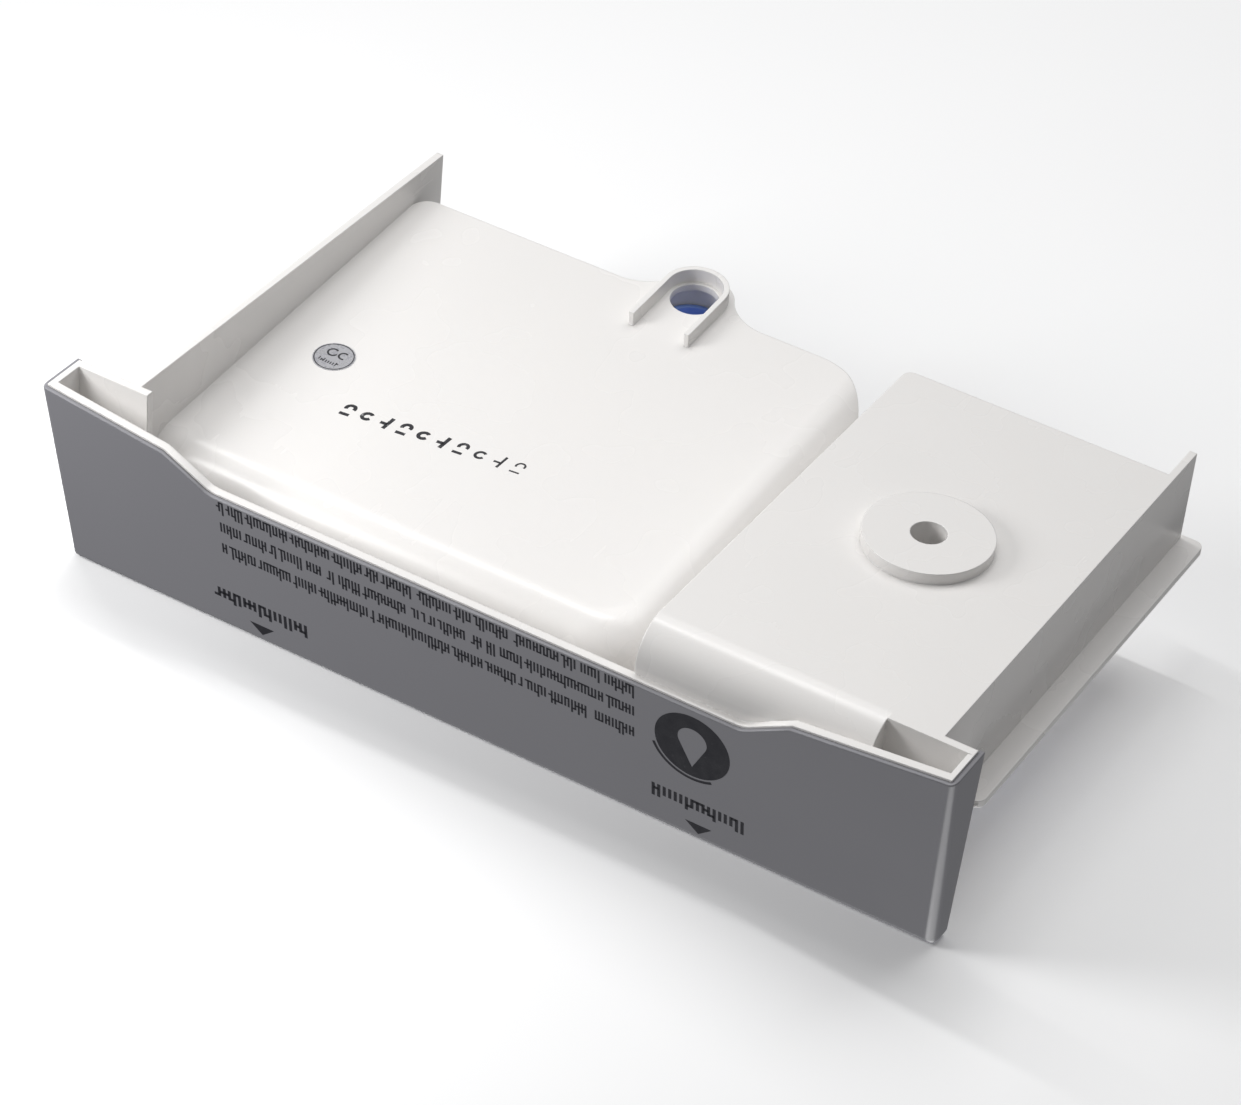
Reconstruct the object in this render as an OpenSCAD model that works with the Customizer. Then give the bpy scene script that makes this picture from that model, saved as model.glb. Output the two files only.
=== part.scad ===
// Detergent dispenser drawer of a washing machine, standing the way it is used.
// X runs across the front panel, Y runs from the front panel to the rear, Z is up.
// The origin is under the middle of the drawer, level with its lowest face.
// The large detergent compartment lies on the +X side, the softener one on the -X side.

/* [Front panel] */
// Width of the tray's front frame at its lower edge
frame_w = 280; // [240:1:320]
// Height of the front panel from the tray's lower edge to the top of the cover
panel_h = 64; // [52:1:80]
// How far the panel leans back, in degrees
lean = 9.2; // [4:0.2:12]
// How much narrower the panel is at its top, on each side
side_draft = 2.3; // [0:0.1:5]
// Wall thickness of the decorative cover
cover_t = 1.4; // [1:0.1:2.5]
// Distance from the frame's lower front line to the back edge of the cover
cover_d = 15.5; // [15:0.5:22]
// Height of the cover's lower rim above the frame's lower rim
rim_drop = 0.7; // [0.3:0.1:2]
// Thickness of the frame's front plate
frame_t = 2.4; // [1.8:0.1:3.5]
// Thickness of the frame's end walls
end_t = 1.6; // [1.2:0.1:3]
// Distance from the frame's lower front line to the back face of its rear plate
frame_d = 14.4; // [13:0.1:15]
// Half width between the two end lobes of the rear plate
lobe_x = 115.2; // [100:0.1:118]

/* [Finger scoop] */
// Height of the finger scoop above the panel's lower corners
scoop_h = 14; // [10:0.5:20]
// End of the scoop's level edge on the detergent side
scoop_r = 87; // [70:0.5:95]
// End of the scoop's level edge on the softener side
scoop_l = 80; // [70:0.5:95]
// Width of the slanted end of the scoop
scoop_run = 14.5; // [10:0.5:18]
// Corner radius where the slanted end meets the level edge
scoop_round = 8; // [4:0.5:12]
// Height that the end lobes have risen to where the scoop starts
lobe_rise = 5.4; // [2:0.2:8]

/* [Tray] */
// Wall thickness of the tray
wall = 2.2; // [1.8:0.1:3]
// Height of the compartments' rim above the tray's lower edge
rim_z = 40; // [36:0.5:46]
// Outer side face of the softener compartment, measured from the middle
soft_out_x = 130.5; // [126:0.5:134]
// Inner side face of the softener compartment, measured from the middle
soft_in_x = 46.5; // [44:0.5:60]
// Distance from the frame's lower front line to the rear of the softener compartment
soft_rear = 151.7; // [130:0.5:165]
// Radius of the bend along the softener compartment's lower front edge
soft_bend = 11; // [6:0.5:13]
// Outer side face of the detergent compartment, measured from the middle
det_out_x = 118.9; // [110:0.5:126]
// Inner side face of the detergent compartment, measured from the middle
det_in_x = 40; // [30:0.5:42]
// Distance from the frame's lower front line to the front of the detergent compartment
det_front = 15.6; // [14.5:0.1:20]
// Distance from the frame's lower front line to the rear of the detergent compartment
det_rear = 154.5; // [130:0.5:170]
// Height of the detergent floor's outside if it reached the frame's lower front line
det_floor = 21.5; // [19:0.5:26]
// Fall of the detergent floor towards the rear, in mm per mm
det_fall = 0.08; // [0.02:0.01:0.11]
// Radius of the bends along the detergent compartment's lower front and inner edges
det_bend = 13; // [8:0.5:16]
// Radius of the detergent compartment's upright rear corner beside the softener
det_corner = 22; // [14:0.5:26]
// Radius of the detergent compartment's upright front corner beside the softener
det_front_corner = 20; // [16:0.5:26]

/* [Rails] */
// Distance from the frame's lower front line to the rear end of the rails
rail_end = 165.5; // [150:0.5:180]
// Height of the sliding face of the rail flanges above the tray's lower edge
flange_z = 29.3; // [24:0.1:34]
// How far the rail flanges stand out from the tray's sides
flange_w = 7; // [4:0.5:9]
// Distance from the frame's lower front line to the front end of the flanges
flange_front = 29; // [22:0.5:40]

/* [Drains] */
// Radius of the detergent drain hole
drain_r = 7.2; // [5:0.1:8]
// Sideways place of the detergent drain hole
drain_x = 25.7; // [0:0.1:60]
// Outer radius of the round nose that holds the drain hole
nose_r = 11.7; // [11:0.1:14]
// Radius of the bends that join the nose to the rear wall
nose_blend = 16; // [10:0.5:20]
// Distance from the rear wall of the detergent compartment back to the drain hole's middle
drain_back = 2.7; // [0:0.1:4]
// Height of the U-shaped rib around the drain hole
rib_h = 4.5; // [2:0.1:6]
// Length of the straight arms of the U-shaped rib
rib_arm = 20.5; // [10:0.5:28]
// Radius of the softener outlet
outlet_r = 5.05; // [3:0.05:7]
// Sideways place of the softener outlet, measured from the middle
outlet_x = 89.1; // [80:0.1:98]
// Distance from the frame's lower front line to the softener outlet
outlet_y = 83.1; // [60:0.1:110]
// Radius of the round sump under the softener floor
sump_r = 18.2; // [15:0.1:22]
// Depth of the sump below the softener floor
sump_h = 3.5; // [2.5:0.1:6]
// Height of the siphon tube above the tray's lower edge
tube_top = 29; // [22:0.5:31]

/* [Caps] */
// Wall thickness of the two lift-off caps
cap_t = 1.4; // [1:0.1:2]
// Outer radius of the softener siphon cap
siphon_r = 10.6; // [10:0.1:14]
// Lower edge of the detergent drain cap above the tray's lower edge
drain_cap_z = 16.7; // [14:0.1:22]
// Height of the finger tabs on the caps
tab_h = 8; // [5:0.5:12]

/* [Sticker] */
// Radius of the round inspection sticker
sticker_r = 6.2; // [4:0.1:8]

/* [Hidden] */
$fn = 96;
eps = 0.01;
over = 40;
blend_bite = 0.03;
plate_bite = 0.3;
outer_corner = 6;
soft_corner = 3;
flange_corner = 3;
lean_tan = tan(lean);
draft_tan = side_draft / panel_h;
frame_top = panel_h - cover_t;
plate_t = 2.4;
cavity_front = frame_d - plate_t;
cavity_least = 1.5;
cavity_top = (cavity_front - frame_t - cavity_least) / lean_tan;
plate_z = det_floor - det_fall * det_front + det_bend;
slope_len = sqrt(1 + det_fall * det_fall);
slope_deg = atan(det_fall);
drain_y = det_rear + drain_back;
nose_root = 3;
rib_t = 1.6;
rib_in = drain_r + 1.2;
web_ribs = [38, 100];
web_rib_z = 17;
flange_past = 1.5;
gusset_step = 1;
tube_t = 1.6;
sump_floor = -sump_h + wall;
cap_gap = 0.4;
lift_gap = 0.3;
tab_t = 1.8;
tab_w = 14;
drain_cap_front = 19;
siphon_foot = 1.6;
guide_clear = 0.1;
guide_head = 0.3;
sticker_t = 0.15;
sticker_x = 97.2;
sticker_y = 76.8;
front_gap = cover_t - lean_tan * rim_drop;
depth = front_gap + drain_y + nose_r;

// Moves a piece from the frame's lower front line to the assembly's own frame.
module place() {
    translate([0, front_gap - depth / 2, sump_h]) children();
}

// Rectangle with its own radius at each corner, going round from the low corner.
module round_rect(x0, y0, x1, y1, r00, r10, r11, r01) {
    difference() {
        translate([x0, y0]) square([x1 - x0, y1 - y0]);
        translate([x0 - eps, y0 - eps]) square([r00 + eps, r00 + eps]);
        translate([x1 - r10, y0 - eps]) square([r10 + eps, r10 + eps]);
        translate([x1 - r11, y1 - r11]) square([r11 + eps, r11 + eps]);
        translate([x0 - eps, y1 - r01]) square([r01 + eps, r01 + eps]);
    }
    if (r00 > 0) translate([x0 + r00, y0 + r00]) circle(r00);
    if (r10 > 0) translate([x1 - r10, y0 + r10]) circle(r10);
    if (r11 > 0) translate([x1 - r11, y1 - r11]) circle(r11);
    if (r01 > 0) translate([x0 + r01, y1 - r01]) circle(r01);
}

// Extrudes a front-view outline from y0 to y1.
module along_y(y0, y1) {
    translate([0, y1, 0]) rotate([90, 0, 0]) linear_extrude(y1 - y0) children();
}

// Extrudes a side-view outline from x0 to x1.
module along_x(x0, x1) {
    translate([x0, 0, 0]) rotate([90, 0, 90]) linear_extrude(x1 - x0) children();
}

// Plan outline of the nose around the drain hole, with hollow bends to the rear wall.
module nose_plan(r, blend, rear) {
    dy = rear + blend - drain_y;
    dx = sqrt((r + blend) * (r + blend) - dy * dy);
    translate([drain_x, drain_y]) circle(r);
    difference() {
        polygon([[drain_x - dx, rear - nose_root], [drain_x + dx, rear - nose_root],
                 [drain_x + dx, rear + blend], [drain_x, drain_y],
                 [drain_x - dx, rear + blend]]);
        translate([drain_x + dx, rear + blend]) circle(blend + blend_bite);
        translate([drain_x - dx, rear + blend]) circle(blend + blend_bite);
    }
}

// Upright cut through a wall and the floor that meet in one round bend.
module bend_outline(reach, bend) {
    difference() {
        square([reach, 2 * over]);
        translate([-eps, -eps]) square([bend + eps, bend + eps]);
    }
    translate([bend, bend]) circle(bend);
}

// Front and inner side of the detergent compartment, square to its falling floor.
module rolled_front(in) {
    turn = det_front_corner - in;
    bend = det_bend - in;
    far = det_rear + over;
    translate([-det_in_x + in, det_front + in, det_floor + in * slope_len - det_fall * (det_front + in)])
        rotate([-slope_deg, 0, 0]) {
            translate([turn, turn, 0]) rotate([0, 0, 180]) rotate_extrude(angle = 90)
                translate([turn, 0]) mirror([1, 0]) bend_outline(turn, bend);
            translate([turn, 0, 0]) rotate([90, 0, 90])
                linear_extrude(far) bend_outline(far, bend);
            translate([0, far, 0]) rotate([90, 0, 0])
                linear_extrude(far - turn) bend_outline(turn, bend);
        }
}

// Detergent compartment as a solid block, drawn in by a wall thickness for its hollow.
module detergent_block(in, top) {
    small = outer_corner - in;
    intersection() {
        rolled_front(in);
        linear_extrude(top) {
            round_rect(-det_in_x + in, 0, det_out_x - in, det_rear - in,
                       0, 0, small, det_corner - in);
            nose_plan(nose_r - in, nose_blend + in, det_rear - in);
        }
    }
}

// Side outline of the softener compartment's front: the leaning plate's back and one bend.
module leaning_outline(in, top) {
    bend = soft_bend - in;
    foot = frame_t - plate_bite + in / cos(lean);
    zc = in + bend;
    yc = foot + lean_tan * zc + bend / cos(lean);
    inner = bend - eps;
    polygon([[yc, zc], [yc - inner * cos(lean), zc + inner * sin(lean)],
             [foot + eps / cos(lean) + lean_tan * top, top],
             [yc + over, top], [yc + over, in], [yc, in]]);
    translate([yc, zc]) circle(bend);
}

// Softener compartment as a solid block, drawn in by a wall thickness for its hollow.
module softener_block(in, top) {
    behind = cavity_front + soft_bend;
    translate([0, 0, in]) linear_extrude(top - in) {
        round_rect(-soft_out_x + in, behind, -soft_in_x - in, soft_rear - in,
                   0, 0, soft_corner - in / 2, 0);
        translate([-soft_out_x + in, cavity_front + in])
            square([soft_out_x - lobe_x, behind - cavity_front]);
    }
    along_x(-lobe_x + in, -soft_in_x - in) leaning_outline(in, top);
}

// Front-view outline of the panel: straight sides that draw in towards the top.
module panel_outline(grow, top) {
    half = frame_w / 2 + grow;
    polygon([[-half, 0], [half, 0],
             [half - draft_tan * top, top], [-half + draft_tan * top, top]]);
}

// Front-view outline cut away under the panel: sloping end lobes and finger scoop.
module under_edge(up) {
    half = frame_w / 2;
    far = half + cover_t + 1;
    ang = atan((scoop_h - lobe_rise) / scoop_run);
    bite = scoop_round * tan(ang / 2);
    translate([0, up]) {
        polygon([[-far, -over], [far, -over], [far, 0], [half, 0],
                 [scoop_r + scoop_run, lobe_rise], [-scoop_l - scoop_run, lobe_rise],
                 [-half, 0], [-far, 0]]);
        polygon([[-scoop_l - scoop_run, lobe_rise - 2], [scoop_r + scoop_run, lobe_rise - 2],
                 [scoop_r + scoop_run, lobe_rise],
                 [scoop_r + bite * cos(ang), scoop_h - bite * sin(ang)],
                 [scoop_r - bite, scoop_h], [-scoop_l + bite, scoop_h],
                 [-scoop_l - bite * cos(ang), scoop_h - bite * sin(ang)],
                 [-scoop_l - scoop_run, lobe_rise]]);
        intersection() {
            translate([scoop_r - bite, scoop_h - scoop_round]) circle(scoop_round);
            square([far, scoop_h]);
        }
        intersection() {
            translate([-scoop_l + bite, scoop_h - scoop_round]) circle(scoop_round);
            translate([-far, 0]) square([far, scoop_h]);
        }
    }
}

// Leaning front plate of the tray's frame, with the finger scoop.
module front_plate() {
    difference() {
        intersection() {
            along_x(-frame_w / 2, frame_w / 2)
                polygon([[0, 0], [lean_tan * frame_top, frame_top],
                         [frame_t + lean_tan * frame_top, frame_top], [frame_t, 0]]);
            along_y(-1, frame_d + 1) panel_outline(0, frame_top);
        }
        along_y(-1, cavity_front) under_edge(0);
    }
}

// Front frame of the tray: leaning front plate, end walls and rear plate.
module front_frame() {
    difference() {
        intersection() {
            along_x(-frame_w / 2, frame_w / 2)
                polygon([[0, 0], [lean_tan * frame_top, frame_top],
                         [frame_d, frame_top], [frame_d, 0]]);
            along_y(-1, frame_d + 1) panel_outline(0, frame_top);
        }
        intersection() {
            along_x(-frame_w / 2, frame_w / 2)
                polygon([[frame_t, -1],
                         [frame_t + lean_tan * cavity_top, cavity_top],
                         [cavity_front, cavity_top], [cavity_front, -1]]);
            translate([0, 0, -1]) along_y(-1, frame_d + 1) panel_outline(-end_t, frame_top);
        }
        along_y(-1, cavity_front - eps) under_edge(0);
        translate([-lobe_x, cavity_front - 2 * eps, -1])
            cube([2 * lobe_x, plate_t + 1, plate_z + 1]);
    }
}

// Side rail: upright plate with an outward flange and a gusset at its front end.
module rail(x, side) {
    out = side * flange_w;
    translate([min(x, x + side * wall), frame_d - plate_t / 2, 0])
        cube([wall, rail_end - frame_d + plate_t / 2, flange_z + wall]);
    translate([0, 0, flange_z]) linear_extrude(wall)
        round_rect(min(x, x + side * (wall + flange_w)), flange_front,
                   max(x, x + side * (wall + flange_w)), rail_end + flange_past,
                   side < 0 ? flange_corner : 0, side > 0 ? flange_corner : 0,
                   side > 0 ? flange_corner : 0, side < 0 ? flange_corner : 0);
    along_y(flange_front, flange_front + wall)
        polygon([[x + side * wall / 2, flange_z + wall / 2],
                 [x + side * (wall + flange_w - gusset_step), flange_z + wall / 2],
                 [x + side * wall / 2, flange_z + flange_w + wall]]);
}

// U-shaped rib under the detergent drain hole, square to the falling floor.
module drain_rib() {
    translate([drain_x, drain_y, det_floor - det_fall * drain_y])
        rotate([-slope_deg, 0, 0]) translate([0, 0, -rib_h]) {
            difference() {
                cylinder(r = rib_in + rib_t, h = rib_h + wall / 2);
                translate([0, 0, -1]) cylinder(r = rib_in, h = rib_h + wall);
                translate([-over / 2, -over, -1]) cube([over, over, rib_h + wall]);
            }
            translate([rib_in, -rib_arm, 0]) cube([rib_t, rib_arm, rib_h + wall / 2]);
            translate([-rib_in - rib_t, -rib_arm, 0]) cube([rib_t, rib_arm, rib_h + wall / 2]);
        }
}

// Web that joins the two compartments: a deck at the rim and two upright ribs.
module web() {
    gap = soft_in_x - det_in_x;
    translate([-soft_in_x - wall, cavity_front, rim_z - wall])
        cube([gap + det_corner + wall, soft_rear - wall - cavity_front, wall]);
    for (y = web_ribs)
        translate([-soft_in_x - wall / 2, y, web_rib_z])
            cube([gap + wall, wall, rim_z - web_rib_z - wall / 2]);
}

// One-piece moulded tray: frame, two compartments, rails, drains and siphon tube.
module tray() {
    color([0.93, 0.93, 0.92])
    place() {
        front_plate();
        difference() {
            union() {
                front_frame();
                detergent_block(0, rim_z);
                softener_block(0, rim_z);
                translate([-det_in_x + det_front_corner, cavity_front + plate_t / 2, plate_z])
                    cube([det_out_x + det_in_x - det_front_corner - wall,
                          det_front + 2 * wall - cavity_front - plate_t / 2, rim_z - plate_z]);
                web();
                mirror([1, 0, 0]) rail(soft_out_x - wall, 1);
                rail(det_out_x, 1);
                drain_rib();
                translate([-outlet_x, outlet_y, -sump_h])
                    cylinder(r = sump_r, h = sump_h + wall / 2);
            }
            detergent_block(wall, rim_z + 1);
            difference() {
                union() {
                    softener_block(wall, rim_z + 1);
                    translate([-outlet_x, outlet_y, sump_floor])
                        cylinder(r = sump_r - wall, h = sump_h + wall);
                }
                translate([-outlet_x, outlet_y, sump_floor - 1])
                    cylinder(r = outlet_r + tube_t, h = tube_top - sump_floor + 1);
            }
            translate([drain_x, drain_y, 0]) cylinder(r = drain_r, h = rim_z);
            translate([-outlet_x, outlet_y, -sump_h - 1]) cylinder(r = outlet_r, h = rim_z);
        }
    }
}

// Leaning cover that caps the tray's front frame and carries the printed face.
module front_cover() {
    color([0.86, 0.86, 0.88])
    place() difference() {
        intersection() {
            along_x(-frame_w / 2 - cover_t, frame_w / 2 + cover_t)
                polygon([[-cover_t, 0], [lean_tan * panel_h - cover_t, panel_h],
                         [cover_d, panel_h], [cover_d, 0]]);
            along_y(-over, over) panel_outline(cover_t, panel_h);
        }
        intersection() {
            along_x(-frame_w / 2, frame_w / 2)
                polygon([[-lean_tan, -1], [lean_tan * frame_top, frame_top],
                         [cover_d + 1, frame_top], [cover_d + 1, -1]]);
            translate([0, 0, -1]) along_y(-over, over)
                polygon([[-frame_w / 2 - draft_tan, 0], [frame_w / 2 + draft_tan, 0],
                         [frame_w / 2 - draft_tan * frame_top, frame_top + 1],
                         [-frame_w / 2 + draft_tan * frame_top, frame_top + 1]]);
        }
        along_y(-over, over) under_edge(rim_drop);
    }
}

// Finger tab with a rounded top, standing across a cap.
module finger_tab() {
    along_y(-tab_t / 2, tab_t / 2)
        round_rect(-tab_w / 2, -cap_t / 2, tab_w / 2, tab_h, 0, 0, tab_w / 4, tab_w / 4);
}

// Drain cap of the detergent compartment: hangs in the nose from a plate on the rim.
module detergent_drain_cap() {
    skirt_r = nose_r - wall - cap_gap;
    color([0.22, 0.42, 0.80])
    place() translate([drain_x, drain_y, 0]) {
        difference() {
            translate([0, 0, drain_cap_z]) linear_extrude(rim_z + lift_gap + eps - drain_cap_z) {
                circle(skirt_r);
                translate([-skirt_r, -drain_cap_front]) square([2 * skirt_r, drain_cap_front]);
            }
            translate([0, 0, drain_cap_z - 1]) linear_extrude(rim_z + lift_gap + 1 - drain_cap_z) {
                circle(skirt_r - cap_t);
                translate([-skirt_r + cap_t, -drain_cap_front + cap_t])
                    square([2 * (skirt_r - cap_t), drain_cap_front - cap_t]);
            }
        }
        translate([0, 0, rim_z + lift_gap]) linear_extrude(cap_t) {
            circle(nose_r);
            translate([-nose_r, -drain_cap_front]) square([2 * nose_r, drain_cap_front]);
        }
        translate([0, -drain_cap_front / 2, rim_z + lift_gap + cap_t]) finger_tab();
    }
}

// Siphon cap of the softener compartment: a cup over the tube, guided by four ribs.
module softener_siphon_cap() {
    foot = sump_floor + siphon_foot;
    top = tube_top + lift_gap + siphon_foot;
    color([0.22, 0.42, 0.80])
    place() translate([-outlet_x, outlet_y, 0]) {
        difference() {
            translate([0, 0, foot]) cylinder(r = siphon_r, h = top + cap_t - foot);
            translate([0, 0, foot - 1]) cylinder(r = siphon_r - cap_t, h = top + 1 - foot);
        }
        for (a = [0, 90, 180, 270]) rotate([0, 0, a]) {
            translate([outlet_r + tube_t + guide_clear, -cap_t / 2, foot + cap_t])
                cube([siphon_r - cap_t / 2 - outlet_r - tube_t - guide_clear, cap_t,
                      top - foot - cap_t / 2]);
            translate([outlet_r + guide_head, -cap_t / 2, tube_top + lift_gap])
                cube([tube_t + 1, cap_t, siphon_foot + cap_t / 2]);
        }
        translate([0, 0, top + cap_t]) finger_tab();
    }
}

// Round inspection sticker on the underside of the detergent floor.
module inspection_sticker() {
    color([0.75, 0.75, 0.76])
    place() translate([sticker_x, sticker_y, det_floor - det_fall * sticker_y])
        rotate([-slope_deg, 0, 0]) translate([0, 0, -sticker_t])
            cylinder(r = sticker_r, h = sticker_t);
}

tray();
front_cover();
detergent_drain_cap();
softener_siphon_cap();
inspection_sticker();
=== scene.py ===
"""Looks of a washing machine's detergent dispenser drawer: pieces, finishes, print and studio."""

import logging
import math
from collections.abc import Callable, Iterable
from dataclasses import dataclass, field
from enum import Enum
from typing import ClassVar

import bmesh
import bpy
from mathutils import Matrix, Vector


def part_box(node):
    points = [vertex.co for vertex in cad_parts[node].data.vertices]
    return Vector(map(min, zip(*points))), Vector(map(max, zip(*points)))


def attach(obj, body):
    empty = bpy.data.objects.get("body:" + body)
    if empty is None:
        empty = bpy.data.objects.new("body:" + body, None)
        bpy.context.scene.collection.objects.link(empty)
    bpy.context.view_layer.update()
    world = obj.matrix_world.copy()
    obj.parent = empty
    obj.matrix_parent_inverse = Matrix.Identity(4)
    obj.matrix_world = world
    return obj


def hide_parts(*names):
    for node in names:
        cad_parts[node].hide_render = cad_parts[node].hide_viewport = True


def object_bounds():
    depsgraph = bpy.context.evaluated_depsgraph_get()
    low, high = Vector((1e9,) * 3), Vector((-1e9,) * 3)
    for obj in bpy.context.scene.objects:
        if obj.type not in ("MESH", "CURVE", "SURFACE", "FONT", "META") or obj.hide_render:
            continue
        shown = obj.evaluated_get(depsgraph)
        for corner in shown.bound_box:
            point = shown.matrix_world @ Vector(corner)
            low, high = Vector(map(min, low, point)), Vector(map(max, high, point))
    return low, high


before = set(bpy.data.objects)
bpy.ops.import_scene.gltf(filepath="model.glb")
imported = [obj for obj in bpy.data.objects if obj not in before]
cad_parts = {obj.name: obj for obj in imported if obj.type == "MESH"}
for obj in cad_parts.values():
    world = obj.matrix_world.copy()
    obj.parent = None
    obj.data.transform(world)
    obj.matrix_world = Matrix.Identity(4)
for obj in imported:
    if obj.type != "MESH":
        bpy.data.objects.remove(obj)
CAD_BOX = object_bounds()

LOG = logging.getLogger("drawer")
MM = 0.001
FLAT_WITHIN = 0.4  # Degrees between triangles that still count as one plane.
CAD_WELD = 0.02 * MM
SHARP_SHADING = 30.0  # Degrees from which an edge is shaded sharp.
ROUNDING_STEPS = 3
PRINT_FILM = 0.03 * MM
Outline = list[tuple[float, float]]


class Body(Enum):
    """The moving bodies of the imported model."""

    DRAWER = "drawer"
    DRAIN_CAP = "drain_cap"
    SIPHON_CAP = "siphon_cap"


class Slot(Enum):
    """The material slots of the record."""

    WHITE = "white_plastic"
    FACE = "face_plastic"
    BLUE = "blue_plastic"
    FOIL = "foil"


# --- Finishes ---------------------------------------------------------------------------------


class Bench:
    """A material being wired: a few short ways to add and join its nodes.

    An edge begins where the rounded normal's cosine to the true one falls below FLAT_TURN,
    and is a full edge at EDGE_TURN.
    """

    FLAT_TURN = 0.995
    EDGE_TURN = 0.8

    def __init__(self, name: str) -> None:
        """Starts a material with its Principled shader and its Object coordinates.

        Args:
            name: The material's name.
        """
        self.material = bpy.data.materials.new(name)
        self.material.use_nodes = True
        self.tree = self.material.node_tree
        self.shader = self.tree.nodes["Principled BSDF"]
        self.place = self.tree.nodes.new("ShaderNodeTexCoord").outputs["Object"]

    def node(self, kind: str, inputs: dict | None = None, **settings: object) -> bpy.types.Node:
        """Adds a node.

        Args:
            kind: The node's type name.
            inputs: Values or sockets for its inputs, by name or index.
            settings: Properties to set on it first.

        Returns:
            The node.
        """
        made = self.tree.nodes.new(kind)
        for name, value in settings.items():
            setattr(made, name, value)
        for key, value in (inputs or {}).items():
            self.feed(made.inputs[key], value)
        return made

    def feed(self, socket: bpy.types.NodeSocket, value: object) -> None:
        """Links a socket, or sets its value.

        Args:
            socket: The input to feed.
            value: Another node's output, or the value to set.
        """
        if isinstance(value, bpy.types.NodeSocket):
            self.tree.links.new(value, socket)
        else:
            socket.default_value = value

    def noise(
        self, scale: float, detail: float = 2.0, stretch: tuple[float, float, float] | None = None
    ) -> bpy.types.NodeSocket:
        """Adds noise in object space.

        Args:
            scale: Cells per metre.
            detail: Octaves of finer noise.
            stretch: Scale along each axis, or None for even noise.

        Returns:
            The noise's value.
        """
        place = self.place
        if stretch is not None:
            place = self.node("ShaderNodeMapping", {"Vector": place, "Scale": stretch}).outputs[0]
        fields = {"Vector": place, "Scale": scale, "Detail": detail}
        return self.node("ShaderNodeTexNoise", fields).outputs[0]

    def ranged(
        self, value: bpy.types.NodeSocket, start: float, end: float, low: float = 0.0, high: float = 1.0
    ) -> bpy.types.NodeSocket:
        """Maps a value from start..end to low..high, held at both ends.

        Args:
            value: The value to map.
            start: Where the low end lies.
            end: Where the high end lies.
            low: The result at start.
            high: The result at end.

        Returns:
            The mapped value.
        """
        ends = {"From Min": start, "From Max": end, "To Min": low, "To Max": high}
        return self.node("ShaderNodeMapRange", {"Value": value, **ends}, clamp=True).outputs[0]

    def blend(self, share: object, first: object, second: object) -> bpy.types.NodeSocket:
        """Mixes two colours by a share."""
        fields = {0: share, 6: first, 7: second}
        return self.node("ShaderNodeMix", fields, data_type="RGBA").outputs[2]

    def math(self, how: str, first: object, second: object) -> bpy.types.NodeSocket:
        """Joins two numbers by an operation."""
        return self.node("ShaderNodeMath", {0: first, 1: second}, operation=how).outputs[0]

    def bump(self, height: object, depth: float, under: object | None = None) -> bpy.types.NodeSocket:
        """Turns a height into a normal.

        Args:
            height: The height, 0 to 1.
            depth: The height's size in metres.
            under: A normal that this one is laid over.

        Returns:
            The bumped normal.
        """
        fields = {"Height": height, "Distance": depth, "Strength": 1.0}
        if under is not None:
            fields["Normal"] = under
        return self.node("ShaderNodeBump", fields).outputs[0]

    def edge_share(self, radius: float) -> bpy.types.NodeSocket:
        """How much a spot lies on an edge, found from rounded and true normals.

        Args:
            radius: The reach of an edge in metres.

        Returns:
            A number that is 0 on flat faces and grows at edges.
        """
        rounded = self.node("ShaderNodeBevel", {"Radius": radius}, samples=4).outputs[0]
        true = self.node("ShaderNodeNewGeometry").outputs["Normal"]
        turn = self.node("ShaderNodeVectorMath", {0: rounded, 1: true}, operation="DOT_PRODUCT")
        return self.ranged(turn.outputs["Value"], self.FLAT_TURN, self.EDGE_TURN)


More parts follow.
